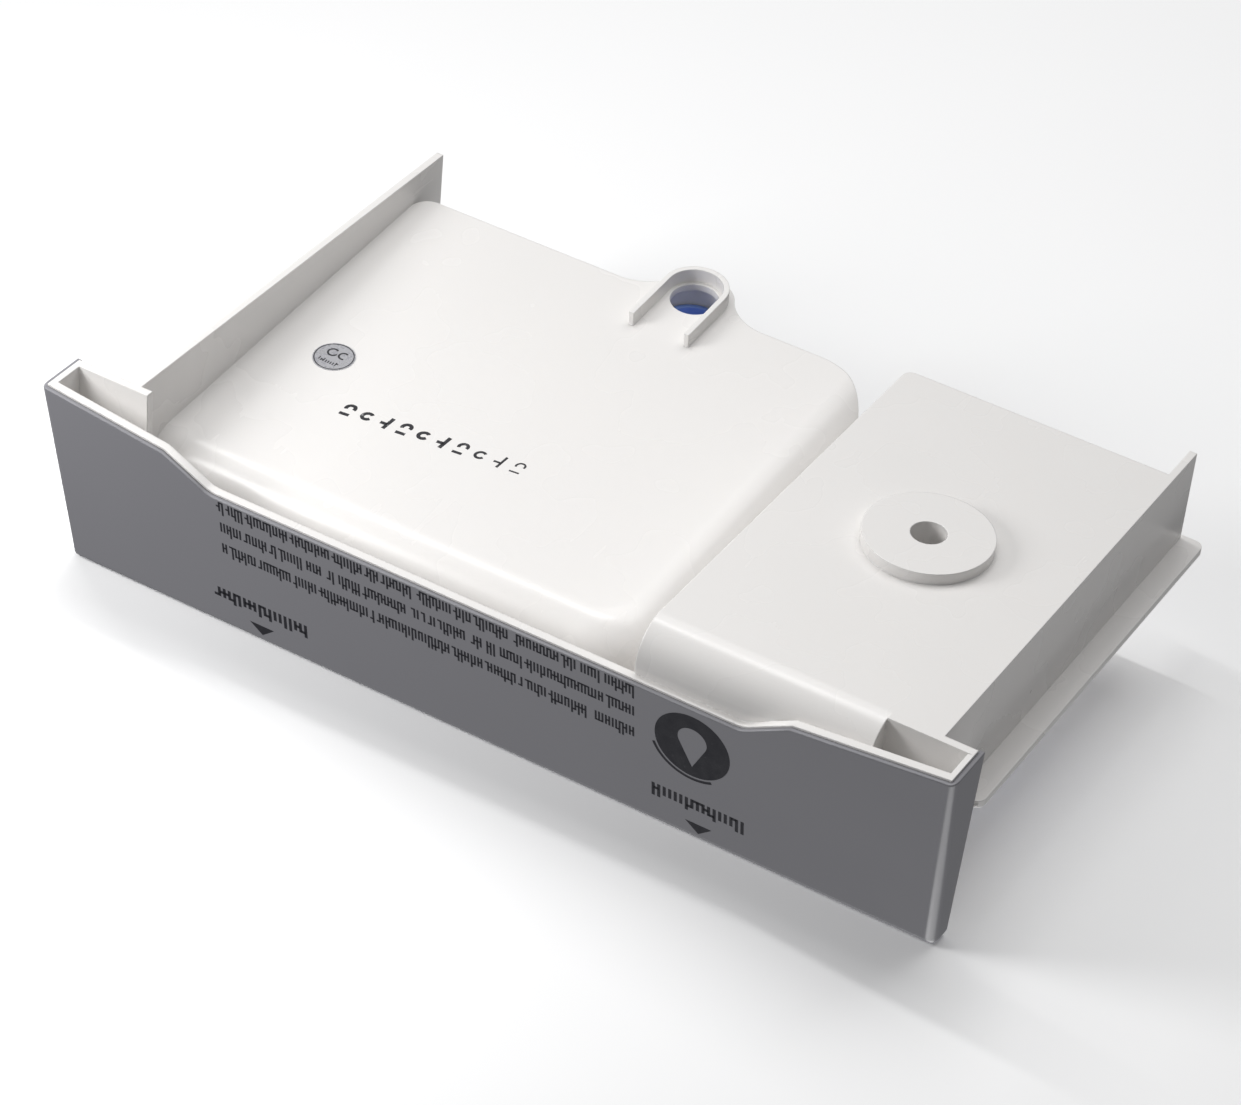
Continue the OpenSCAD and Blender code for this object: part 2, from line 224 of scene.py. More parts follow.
@dataclass(frozen=True)
class MouldedPlastic:
    """Injection-moulded plastic: soft waves, fine skin, light scuffs and rubbed edges.

    Scales are in cells per metre. Depths, the reach of wear and the rounding are in metres.
    """

    name: str
    colour: tuple[float, float, float]
    shade: tuple[float, float, float]
    edge: tuple[float, float, float]
    roughness: float = 0.3
    roughness_spread: float = 0.06
    wave_depth: float = 0.00005
    skin_depth: float = 0.000005
    skin_scale: float = 2600.0
    scuff_share: float = 0.12
    specular: float = 0.5
    subsurface: float = 0.0
    subsurface_reach: tuple[float, float, float] = (0.0012, 0.0011, 0.001)
    rounding: float = 0.0005
    cloud_scale: float = 14.0
    scratch_scale: float = 160.0
    scratch_stretch: tuple[float, float, float] = (1.0, 0.06, 1.0)
    patch_scale: float = 9.0
    wear_scale: float = 70.0
    wear_reach: float = 0.0007
    smear_scale: float = 38.0
    wave_scale: float = 26.0
    dulling: float = 0.2

    def make(self) -> bpy.types.Material:
        """Builds the material.

        Returns:
            The material.
        """
        bench = Bench(self.name)
        cloud = bench.ranged(bench.noise(self.cloud_scale, 3.0), 0.0, 1.0)
        tint = bench.blend(cloud, (*self.colour, 1), (*self.shade, 1))
        edge = bench.edge_share(self.wear_reach)
        scratch = bench.noise(self.scratch_scale, 4.0, self.scratch_stretch)
        scuff = bench.math("MULTIPLY", bench.ranged(scratch, 0.62, 0.74), self.scuff_share)
        patch = bench.ranged(bench.noise(self.patch_scale, 1.0), 0.3, 0.8)
        patchy = bench.math("MULTIPLY", scuff, patch)
        rubbed = bench.ranged(bench.noise(self.wear_scale, 2.0), 0.3, 0.7, 0.25, 0.8)
        wear = bench.math("MULTIPLY", edge, rubbed)
        bench.feed(bench.shader.inputs["Base Color"], bench.blend(wear, tint, (*self.edge, 1)))
        low, high = self.roughness - self.roughness_spread, self.roughness + self.roughness_spread
        smear = bench.ranged(bench.noise(self.smear_scale, 2.0), 0.0, 1.0, low, high)
        dulled = bench.math("MULTIPLY", bench.math("ADD", patchy, wear), self.dulling)
        bench.feed(bench.shader.inputs["Roughness"], bench.math("ADD", smear, dulled))
        rounded = bench.node("ShaderNodeBevel", {"Radius": self.rounding}, samples=8).outputs[0]
        waves = bench.bump(bench.noise(self.wave_scale, 1.0), self.wave_depth, rounded)
        skin = bench.bump(bench.noise(self.skin_scale, 2.0), self.skin_depth, waves)
        bench.feed(bench.shader.inputs["Normal"], skin)
        bench.shader.inputs["Specular IOR Level"].default_value = self.specular
        bench.shader.inputs["Subsurface Weight"].default_value = self.subsurface
        bench.shader.inputs["Subsurface Radius"].default_value = self.subsurface_reach
        return bench.material


@dataclass(frozen=True)
class PadInk:
    """Pad-printed ink with thin spots where the pad lifted, its scales in cells per metre."""

    name: str
    colour: tuple[float, float, float]
    thin: tuple[float, float, float]
    roughness: float = 0.42
    thin_from: float = 0.6
    thin_span: float = 0.14
    spot_scale: float = 900.0
    gloss_scale: float = 300.0
    grain_scale: float = 2200.0
    grain_depth: float = 0.00001

    def make(self) -> bpy.types.Material:
        """Builds the material.

        Returns:
            The material.
        """
        bench = Bench(self.name)
        spots = bench.noise(self.spot_scale, 4.0)
        worn = bench.ranged(spots, self.thin_from, self.thin_from + self.thin_span)
        tint = bench.blend(worn, (*self.colour, 1), (*self.thin, 1))
        bench.feed(bench.shader.inputs["Base Color"], tint)
        low, high = self.roughness - 0.08, self.roughness + 0.1
        gloss = bench.ranged(bench.noise(self.gloss_scale, 2.0), 0.3, 0.7, low, high)
        bench.feed(bench.shader.inputs["Roughness"], gloss)
        grain = bench.bump(bench.noise(self.grain_scale, 2.0), self.grain_depth)
        bench.feed(bench.shader.inputs["Normal"], grain)
        return bench.material


@dataclass(frozen=True)
class PrintedFoil:
    """Metallised foil of a label: fine flakes, cloudy patches and creases."""

    name: str
    colour: tuple[float, float, float]
    flake: tuple[float, float, float]
    roughness: float = 0.34
    metallic: float = 0.55
    flake_scale: float = 1500.0
    cloud_scale: float = 240.0
    crease_scale: float = 500.0
    crease_depth: float = 0.00004

    def make(self) -> bpy.types.Material:
        """Builds the material.

        Returns:
            The material.
        """
        bench = Bench(self.name)
        fields = {"Vector": bench.place, "Scale": self.flake_scale}
        cells = bench.node("ShaderNodeTexVoronoi", fields).outputs["Color"]
        speck = bench.ranged(bench.node("ShaderNodeSeparateColor", {0: cells}).outputs[0], 0.55, 0.9)
        cloud = bench.ranged(bench.noise(self.cloud_scale, 3.0), 0.35, 0.65, 0.0, 0.5)
        share = bench.math("MAXIMUM", speck, cloud)
        tint = bench.blend(share, (*self.colour, 1), (*self.flake, 1))
        bench.feed(bench.shader.inputs["Base Color"], tint)
        gloss = bench.ranged(share, 0.0, 1.0, self.roughness - 0.1, self.roughness + 0.14)
        bench.feed(bench.shader.inputs["Roughness"], gloss)
        creases = bench.bump(bench.noise(self.crease_scale, 3.0), self.crease_depth)
        bench.feed(bench.shader.inputs["Normal"], creases)
        bench.shader.inputs["Metallic"].default_value = self.metallic
        return bench.material


@dataclass(frozen=True)
class StudioPaper:
    """Pale paper that is seen from its face only."""

    name: str
    colour: tuple[float, float, float]
    grain_scale: float = 6.0
    grain_shade: float = 0.985

    def make(self) -> bpy.types.Material:
        """Builds the material.

        Returns:
            The material.
        """
        bench = Bench(self.name)
        darker = (*(part * self.grain_shade for part in self.colour), 1)
        grain = bench.blend(bench.noise(self.grain_scale, 2.0), (*self.colour, 1), darker)
        bench.feed(bench.shader.inputs["Base Color"], grain)
        bench.shader.inputs["Roughness"].default_value = 0.9
        bench.shader.inputs["Specular IOR Level"].default_value = 0.1
        back = bench.node("ShaderNodeNewGeometry").outputs["Backfacing"]
        clear = bench.node("ShaderNodeBsdfTransparent").outputs[0]
        paper = bench.shader.outputs[0]
        mixed = bench.node("ShaderNodeMixShader", {0: back, 1: paper, 2: clear}).outputs[0]
        bench.feed(bench.tree.nodes["Material Output"].inputs["Surface"], mixed)
        return bench.material


@dataclass
class FinishSet:
    """Every finish of the drawer, made once."""

    white: bpy.types.Material = field(init=False)
    # The cover's white plastic, coloured dark grey as painted shade.
    face: bpy.types.Material = field(init=False)
    blue: bpy.types.Material = field(init=False)
    foil: bpy.types.Material = field(init=False)
    black_ink: bpy.types.Material = field(init=False)
    stamp_ink: bpy.types.Material = field(init=False)
    paper: bpy.types.Material = field(init=False)

    def __post_init__(self) -> None:
        """Makes the materials."""
        self.white = MouldedPlastic(
            "white_moulded_plastic",
            (0.80, 0.782, 0.762),
            (0.775, 0.76, 0.745),
            (0.88, 0.87, 0.855),
            roughness=0.27,
            subsurface=0.04,
        ).make()
        # The cover is white plastic. Its main, second-tone and edge colours here are dark grey: painted
        # shade for its leaning front, which faces away from the light.
        self.face = MouldedPlastic(
            "satin_face_plastic_painted_shade",
            (0.24, 0.238, 0.256),
            (0.225, 0.223, 0.242),
            (0.36, 0.36, 0.38),
            roughness=0.38,
            wave_depth=0.00006,
            skin_depth=0.000012,
            skin_scale=1800.0,
            rounding=0.0009,
        ).make()
        self.blue = MouldedPlastic(
            "blue_cap_plastic",
            (0.32, 0.5, 1.0),
            (0.27, 0.43, 0.96),
            (0.5, 0.65, 1.0),
            roughness=0.28,
            wave_depth=0.00006,
            subsurface=0.05,
        ).make()
        self.foil = PrintedFoil("sticker_foil", (0.62, 0.62, 0.64), (0.36, 0.36, 0.39)).make()
        self.black_ink = PadInk(
            "black_pad_ink", (0.012, 0.012, 0.018), (0.05, 0.05, 0.06), thin_from=0.66
        ).make()
        self.stamp_ink = PadInk("grey_stamp_ink", (0.012, 0.012, 0.016), (0.3, 0.3, 0.3)).make()
        self.paper = StudioPaper("pale_paper", (0.97, 0.97, 0.97)).make()


# --- Shaping ----------------------------------------------------------------------------------


def cad_mesh(node: str, whole_faces: bool, weld: float) -> bmesh.types.BMesh:
    """Takes a copy of a CAD node with its loose triangles joined.

    Args:
        node: The CAD node's name.
        whole_faces: Whether triangles in one plane become one face.
        weld: Corners closer than this, in metres, become one.

    Returns:
        The joined copy.
    """
    shape = bmesh.new()
    shape.from_mesh(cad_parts[node].data)
    bmesh.ops.remove_doubles(shape, verts=shape.verts, dist=weld)
    if whole_faces:
        bmesh.ops.dissolve_limit(
            shape, angle_limit=math.radians(FLAT_WITHIN), verts=shape.verts, edges=shape.edges
        )
    return shape


def object_of(
    name: str, mesh: bpy.types.Mesh, finish: bpy.types.Material | None = None
) -> bpy.types.Object:
    """Puts a mesh into the scene, at the origin.

    Args:
        name: The piece's name.
        mesh: Its mesh.
        finish: Its material, or None if the mesh has its own.

    Returns:
        The object.
    """
    mesh.name = name
    if finish is not None:
        mesh.materials.clear()
        mesh.materials.append(finish)
    piece = bpy.data.objects.new(name, mesh)
    bpy.context.scene.collection.objects.link(piece)
    return piece


def plain_mesh(piece: bpy.types.Object) -> bpy.types.Mesh:
    """Turns an object's modifiers into a plain mesh and drops the object.

    Args:
        piece: The object to evaluate.

    Returns:
        Its finished mesh.
    """
    graph = bpy.context.evaluated_depsgraph_get()
    mesh = bpy.data.meshes.new_from_object(piece.evaluated_get(graph))
    bpy.data.objects.remove(piece)
    return mesh


def smooth(mesh: bpy.types.Mesh, sharp: float) -> None:
    """Shades a mesh smooth, but for its sharp edges.

    Args:
        mesh: The mesh to shade.
        sharp: The turn in degrees from which an edge stays sharp.
    """
    mesh.polygons.foreach_set("use_smooth", [True] * len(mesh.polygons))
    mesh.set_sharp_from_angle(angle=math.radians(sharp))


def rounded_copy(
    node: str,
    name: str,
    finish: bpy.types.Material,
    largest: float = 0.0,
    weigh: Callable[[bmesh.types.BMEdge], float] | None = None,
    whole_faces: bool = False,
    weld: float = CAD_WELD,
) -> bpy.types.Object:
    """Copies a CAD node and rounds its edges, each by its own radius.

    Args:
        node: The CAD node's name.
        name: The new piece's name.
        finish: Its material.
        largest: The largest radius in metres.
        weigh: Gives an edge's share of the largest radius, or None to leave all edges as cut.
        whole_faces: Whether triangles in one plane become one face first.
        weld: Corners closer than this, in metres, become one first.

    Returns:
        The rounded piece.
    """
    shape = cad_mesh(node, whole_faces, weld)
    if weigh is not None:
        weights = shape.edges.layers.float.new("bevel_weight_edge")
        for edge in shape.edges:
            edge[weights] = weigh(edge)
    mesh = bpy.data.meshes.new(name)
    shape.to_mesh(mesh)
    shape.free()
    if "custom_normal" in mesh.attributes:
        mesh.attributes.remove(mesh.attributes["custom_normal"])
    smooth(mesh, SHARP_SHADING)
    rough = object_of(name, mesh, finish)
    if weigh is not None:
        bevel = rough.modifiers.new("rounding", "BEVEL")
        bevel.limit_method = "WEIGHT"
        bevel.width = largest
        bevel.segments = ROUNDING_STEPS
        bevel.use_clamp_overlap = False
    steady = rough.modifiers.new("flat_faces", "WEIGHTED_NORMAL")
    steady.keep_sharp = True
    return object_of(name, plain_mesh(rough), finish)


def turn_of(edge: bmesh.types.BMEdge) -> float:
    """The angle in degrees between an edge's two faces, or 0 at an open edge."""
    return math.degrees(edge.calc_face_angle(0.0))


def joined(
    name: str, meshes: Iterable[bpy.types.Mesh], finish: bpy.types.Material
) -> bpy.types.Object:
    """Joins meshes into one piece.

    Args:
        name: The piece's name.
        meshes: The meshes, which are used up.
        finish: The material of all of them.

    Returns:
        The joined piece.
    """
    shape = bmesh.new()
    for mesh in meshes:
        shape.from_mesh(mesh)
        bpy.data.meshes.remove(mesh)
    for face in shape.faces:
        face.material_index = 0
    whole = bpy.data.meshes.new(name)
    shape.to_mesh(whole)
    shape.free()
    return object_of(name, whole, finish)


def ink_film(outlines: list[Outline], depth: float, place: Matrix) -> bpy.types.Mesh:
    """Makes a thin closed film from outlines, the later ones holes in the first.

    Args:
        outlines: Closed outlines in metres.
        depth: The film's thickness.
        place: Where the outlines' plane lies, with its Z pointing out of the surface.

    Returns:
        The film.
    """
    shape = bmesh.new()
    edges = []
    for outline in outlines:
        ring = [shape.verts.new((x, y, 0.0)) for x, y in outline]
        edges += [shape.edges.new((a, b)) for a, b in zip(ring, ring[1:] + ring[:1])]
    bmesh.ops.triangle_fill(shape, edges=edges, use_beauty=True, normal=(0, 0, 1))
    grown = bmesh.ops.extrude_face_region(shape, geom=shape.faces[:])
    lifted = [part for part in grown["geom"] if isinstance(part, bmesh.types.BMVert)]
    bmesh.ops.translate(shape, verts=lifted, vec=(0, 0, depth))
    bmesh.ops.recalc_face_normals(shape, faces=shape.faces)
    bmesh.ops.transform(shape, matrix=place, verts=shape.verts)
    mesh = bpy.data.meshes.new("film")
    shape.to_mesh(mesh)
    shape.free()
    return mesh


def arc(
    centre: tuple[float, float], radius: float, start: float, end: float, steps: int
) -> Outline:
    """Points along an arc.

    Args:
        centre: The arc's centre.
        radius: Its radius.
        start: Its first angle in degrees.
        end: Its last angle in degrees.
        steps: How many stretches it has.

    Returns:
        The points, both ends among them.
    """
    turns = [math.radians(start + (end - start) * i / steps) for i in range(steps + 1)]
    return [(centre[0] + radius * math.cos(t), centre[1] + radius * math.sin(t)) for t in turns]


def ring(centre: tuple[float, float], radius: float, steps: int = 64) -> Outline:
    """Points of a full circle."""
    return arc(centre, radius, 0.0, 360.0, steps)[:-1]


def ribbon(path: Outline, width: float) -> Outline:
    """The outline of a stroke of even width along a path.

    Args:
        path: The stroke's middle line.
        width: Its width.

    Returns:
        The closed outline.
    """
    left, right = [], []
    for i, (x, y) in enumerate(path):
        (x0, y0), (x1, y1) = path[max(i - 1, 0)], path[min(i + 1, len(path) - 1)]
        long = math.hypot(x1 - x0, y1 - y0)
        across = ((y0 - y1) / long * width / 2, (x1 - x0) / long * width / 2)
        left.append((x + across[0], y + across[1]))
        right.append((x - across[0], y - across[1]))
    return left + right[::-1]


# --- Rows of marks ----------------------------------------------------------------------------


@dataclass(frozen=True)
class MarkRow:
    """A row of small print stood in for by strokes that spell nothing."""

    length: float
    pitch: float
    height: float
    stroke: float
    depth: float
    seed: int
    kept: float = 0.86
    bridged: float = 0.6


class MarkRowTree:
    """Geometry Nodes that fill a row with strokes, bridges and word gaps."""

    SIZES = ("Length", "Pitch", "Height", "Stroke", "Depth", "Kept", "Bridged")
    BRIDGE_SEED = 3.0  # Added to the row's seed, so that each choice has its own draws.
    LEVEL_SEED = 5.0
    TALL_SEED = 7.0
    LEVELS = 2.99  # Bridges lie at one of three whole levels.
    TALL_FROM = 0.68  # The share of strokes of plain height.
    TALL_GROWTH = 1.36

    def __init__(self, ink: bpy.types.Material) -> None:
        """Builds the tree.

        Args:
            ink: The material of the marks.
        """
        self.ink = ink
        self.tree = bpy.data.node_groups.new("mark_row", "GeometryNodeTree")
        face = self.tree.interface
        face.new_socket("Geometry", in_out="OUTPUT", socket_type="NodeSocketGeometry")
        self.sockets = {
            name: face.new_socket(name, in_out="INPUT", socket_type=kind)
            for name, kind in (
                *((size, "NodeSocketFloat") for size in self.SIZES),
                ("Seed", "NodeSocketInt"),
                ("Ink", "NodeSocketMaterial"),
            )
        }
        self._wire()

    def _node(self, kind: str, inputs: dict | None = None, **settings: object) -> bpy.types.Node:
        """Adds a node with its settings, values and links.

        Args:
            kind: The node's type name.
            inputs: Values or sockets for its inputs, by name or index.
            settings: Properties to set on it first.

        Returns:
            The node.
        """
        made = self.tree.nodes.new(kind)
        for name, value in settings.items():
            setattr(made, name, value)
        for key, value in (inputs or {}).items():
            if isinstance(value, bpy.types.NodeSocket):
                self.tree.links.new(value, made.inputs[key])
            else:
                made.inputs[key].default_value = value
        return made

    def _sum(self, how: str, first: object, second: object) -> bpy.types.NodeSocket:
        """Joins two numbers by an operation."""
        return self._node("ShaderNodeMath", {0: first, 1: second}, operation=how).outputs[0]

    def _chance(self, share: object, seed: object) -> bpy.types.NodeSocket:
        """A yes or no for each point."""
        fields = {"Probability": share, "Seed": seed}
        return self._node("FunctionNodeRandomValue", fields, data_type="BOOLEAN").outputs[3]

    def _even(self, low: float, high: float, seed: object) -> bpy.types.NodeSocket:
        """A number between two ends for each point."""
        fields = {2: low, 3: high, "Seed": seed}
        return self._node("FunctionNodeRandomValue", fields, data_type="FLOAT").outputs[1]

    def _vector(self, x: object, y: object, z: object) -> bpy.types.NodeSocket:
        """Joins three numbers into a vector."""
        return self._node("ShaderNodeCombineXYZ", {0: x, 1: y, 2: z}).outputs[0]

    def _wire(self) -> None:
        """Wires points along the row, strokes on them, bridges between them, and the material."""
        given = self._node("NodeGroupInput").outputs
        half = self._sum("MULTIPLY", given["Height"], 0.5)
        count = self._sum("DIVIDE", given["Length"], given["Pitch"])
        step = self._vector(given["Pitch"], 0.0, 0.0)
        line = self._node("GeometryNodeMeshLine", {"Count": count, "Offset": step}, mode="OFFSET")
        kept = self._chance(given["Kept"], given["Seed"])
        gap = self._node("FunctionNodeBooleanMath", {0: kept}, operation="NOT")
        cut = {0: line.outputs[0], 1: gap.outputs[0]}
        points = self._node("GeometryNodeDeleteGeometry", cut, domain="POINT").outputs[0]
        stem_size = self._vector(given["Stroke"], given["Height"], given["Depth"])
        stem = self._node("GeometryNodeMeshCube", {"Size": stem_size}).outputs[0]
        on_line = {0: stem, "Translation": self._vector(0.0, half, 0.0)}
        raised = self._node("GeometryNodeTransform", on_line).outputs[0]
        tall = self._even(0.0, 1.0, self._sum("ADD", given["Seed"], self.TALL_SEED))
        steps = {1: self.TALL_FROM, 2: self.TALL_FROM + 0.02, 3: 1.0, 4: self.TALL_GROWTH}
        growth = self._node("ShaderNodeMapRange", {"Value": tall, **steps}).outputs[0]
        strokes = self._node(
            "GeometryNodeInstanceOnPoints",
            {"Points": points, "Instance": raised, "Scale": self._vector(1.0, growth, 1.0)},
        )
        bar_size = self._vector(given["Pitch"], given["Stroke"], given["Depth"])
        bar = self._node("GeometryNodeMeshCube", {"Size": bar_size}).outputs[0]
        bridge_seed = self._sum("ADD", given["Seed"], self.BRIDGE_SEED)
        bridges = self._node(
            "GeometryNodeInstanceOnPoints",
            {
                "Points": points,
                "Instance": bar,
                "Selection": self._chance(given["Bridged"], bridge_seed),
            },
        )
        spread = self._even(0.0, self.LEVELS, self._sum("ADD", given["Seed"], self.LEVEL_SEED))
        level = self._node("ShaderNodeMath", {0: spread}, operation="FLOOR").outputs[0]
        half_stroke = self._sum("MULTIPLY", given["Stroke"], 0.5)
        rise = self._sum("MULTIPLY", level, self._sum("SUBTRACT", half, half_stroke))
        lift = self._sum("ADD", rise, half_stroke)
        shift = self._vector(self._sum("MULTIPLY", given["Pitch"], 0.5), lift, 0.0)
        lifted = {0: bridges.outputs[0], "Translation": shift}
        moved = self._node("GeometryNodeTranslateInstances", lifted)
        both = self._node("GeometryNodeJoinGeometry")
        self.tree.links.new(strokes.outputs[0], both.inputs[0])
        self.tree.links.new(moved.outputs[0], both.inputs[0])
        real = self._node("GeometryNodeRealizeInstances", {0: both.outputs[0]})
        dyed = {0: real.outputs[0], "Material": given["Ink"]}
        inked = self._node("GeometryNodeSetMaterial", dyed)
        self._node("NodeGroupOutput", {0: inked.outputs[0]})

    def mesh(self, row: MarkRow, place: Matrix) -> bpy.types.Mesh:
        """Makes one row.

        Args:
            row: The row's sizes.
            place: Where the row's start lies, with X along it and Z out of the surface.

        Returns:
            The row as a plain mesh.
        """
        holder = object_of("row", bpy.data.meshes.new("row"))
        rows = holder.modifiers.new("marks", "NODES")
        rows.node_group = self.tree
        values = (row.length, row.pitch, row.height, row.stroke, row.depth, row.kept, row.bridged)
        for size, value in zip(self.SIZES, values):
            rows[self.sockets[size].identifier] = value
        rows[self.sockets["Seed"].identifier] = row.seed
        rows[self.sockets["Ink"].identifier] = self.ink
        mesh = plain_mesh(holder)
        mesh.transform(place)
        return mesh


# --- Sub-assemblies ---------------------------------------------------------------------------


@dataclass
class TrayMoulding:
    """The one-piece tray."""

    finishes: FinishSet

    def build(self) -> bpy.types.Object:
        """Makes the piece, whose fine edge rounding is in its finish."""
        piece = rounded_copy("tray", "tray_moulding", self.finishes.white)
        return dressed(piece, Body.DRAWER, "tray")


@dataclass
class FrontCover:
    """The leaning front cover, with softly rounded corners and a fine rim."""

    finishes: FinishSet
    corner_radius: float = 3.0 * MM
    top_radius: float = 2.2 * MM
    sharp_from: float = 30.0
    end_taper: float = 2.6 * MM
    front_share: float = 0.62
    reach: float = 0.4 * MM
    weld: float = 0.05 * MM

    def _weigh(self, edge: bmesh.types.BMEdge) -> float:
        """Finds the front's upright corners and the edges round its top.

        Args:
            edge: An edge of the cover.

        Returns:
            Its share of the corner radius.
        """
        if turn_of(edge) < self.sharp_from:
            return 0.0
        low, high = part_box("front_cover")
        first, second = (v.co for v in edge.verts)
        middle, along = (first + second) / 2, (second - first).normalized()
        depth = high.y - low.y
        share = (middle.z - low.z) / (high.z - low.z)
        half = high.x - self.end_taper * share
        outside = abs(middle.x) > half - self.reach
        front = middle.y < low.y + depth * self.front_share * max(share, 0.1) + self.reach
        if outside and front and abs(along.z) > 0.9:
            return 1.0
        if min(first.z, second.z) > high.z - 0.1 * MM and (front or outside):
            return self.top_radius / self.corner_radius
        return 0.0

    def build(self) -> bpy.types.Object:
        """Makes the piece.

        Returns:
            The cover.
        """
        piece = rounded_copy(
            "front_cover",
            "cover_shell",
            self.finishes.face,
            self.corner_radius,
            self._weigh,
            whole_faces=True,
            weld=self.weld,
        )
        return dressed(piece, Body.DRAWER, "front_cover")


@dataclass
class LiftCaps:
    """The two lift-off caps."""

    finishes: FinishSet
    edge_radius: float = 0.32 * MM
    sharp_from: float = 32.0

    def _weigh(self, edge: bmesh.types.BMEdge) -> float:
        """Every sharp edge has the same radius."""
        return 1.0 if turn_of(edge) >= self.sharp_from else 0.0

    def build(self) -> list[bpy.types.Object]:
        """Makes both caps.

        Returns:
            The drain cap and the siphon cap.
        """
        caps = {"detergent_drain_cap": Body.DRAIN_CAP, "softener_siphon_cap": Body.SIPHON_CAP}
        made = []
        for node, body in caps.items():
            name = f"{body.value}_shell"
            piece = rounded_copy(node, name, self.finishes.blue, self.edge_radius, self._weigh)
            made.append(dressed(piece, body, node))
        return made


@dataclass
class FacePrint:
    """Black print on the front: three rows of small marks, two place marks and a badge.

    Places are in millimetres on the face, from the middle of its foot.
    """

    ROW_SEED: ClassVar[int] = 11
    NAME_SEED: ClassVar[int] = 31
    finishes: FinishSet
    rows: tuple[tuple[float, float], ...] = ((-48.0, 30.6), (-48.0, 22.6), (-48.0, 14.8))
    row_length: float = 133.0 * MM
    names: tuple[tuple[float, float, float], ...] = ((-81.3, 48.6, 29.0), (57.3, 49.1, 31.0))
    arrows: tuple[tuple[float, float], ...] = ((-68.0, 57.6), (72.4, 57.4))
    arrow_width: float = 8.0 * MM
    arrow_height: float = 3.6 * MM
    badge_at: tuple[float, float] = (-65.9, 28.0)
    badge_radius: float = 12.2 * MM
    film: float = PRINT_FILM
    lift: float = 0.005 * MM

    def _plane(self) -> Matrix:
        """Finds the face's plane from the cover's own corners.

        Returns:
            The plane, with X along the front, Y up the lean and Z out of the face.
        """
        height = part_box("front_cover")[1].z
        corners = [v.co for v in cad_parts["front_cover"].data.vertices]
        top = min((c for c in corners if c.z > height - 0.1 * MM), key=lambda c: c.y)
        foot = min(corners, key=lambda c: c.y)
        up = Vector((0.0, top.y - foot.y, top.z - foot.z)).normalized()
        out = Vector((1.0, 0.0, 0.0)).cross(up)
        origin = Vector((0.0, foot.y, foot.z)) + out * self.lift
        columns = Matrix((Vector((1.0, 0.0, 0.0)), up, out)).transposed().to_4x4()
        return Matrix.Translation(origin) @ columns

    def _spot(self, x: float, y: float) -> Matrix:
        """A place on the face, half a film above it."""
        return Matrix.Translation((x * MM, y * MM, self.film / 2))

    def _badge(self, plane: Matrix) -> list[bpy.types.Mesh]:
        """Makes a plain disc with a drop left open in it, and a thin arc beside it.

        Args:
            plane: The face's plane.

        Returns:
            The disc and the arc.
        """
        x, y = self.badge_at[0] * MM, self.badge_at[1] * MM
        r = self.badge_radius
        drop_r = r * 0.36
        drop_y = y - r * 0.18
        tip = (x, drop_y + drop_r * 2.3)
        drop = [tip] + arc((x, drop_y), drop_r, 152.0, 388.0, 40)
        disc = ink_film([ring((x, y), r * 0.93, 96), drop], self.film, plane)
        halo = ribbon(arc((x, y), r * 1.02, 20.0, 118.0, 40), r * 0.07)
        return [disc, ink_film([halo], self.film, plane)]

    def build(self) -> bpy.types.Object:
        """Makes the print.

        Returns:
            All the print as one piece.
        """
        plane = self._plane()
        tree = MarkRowTree(self.finishes.black_ink)
        films = self._badge(plane)
        for seed, (x, y) in enumerate(self.rows):
            row = MarkRow(
                length=self.row_length,
                pitch=1.05 * MM,
                height=3.5 * MM,
                stroke=0.58 * MM,
                depth=self.film,
                seed=self.ROW_SEED + seed,
                bridged=0.75,
            )
            films.append(tree.mesh(row, plane @ self._spot(x, y)))
        for seed, (x, y, length) in enumerate(self.names):
            row = MarkRow(
                length=length * MM,
                pitch=1.7 * MM,
                height=3.6 * MM,
                stroke=0.95 * MM,
                depth=self.film,
                seed=self.NAME_SEED + seed,
                kept=1.0,
            )
            films.append(tree.mesh(row, plane @ self._spot(x, y)))
        half = self.arrow_width / 2
        for x, y in self.arrows:
            foot, tip = y * MM, y * MM + self.arrow_height
            arrow = [(x * MM - half, foot), (x * MM + half, foot), (x * MM, tip)]
            films.append(ink_film([arrow], self.film, plane))
        piece = joined("face_print", films, self.finishes.black_ink)
        return dressed(piece, Body.DRAWER)


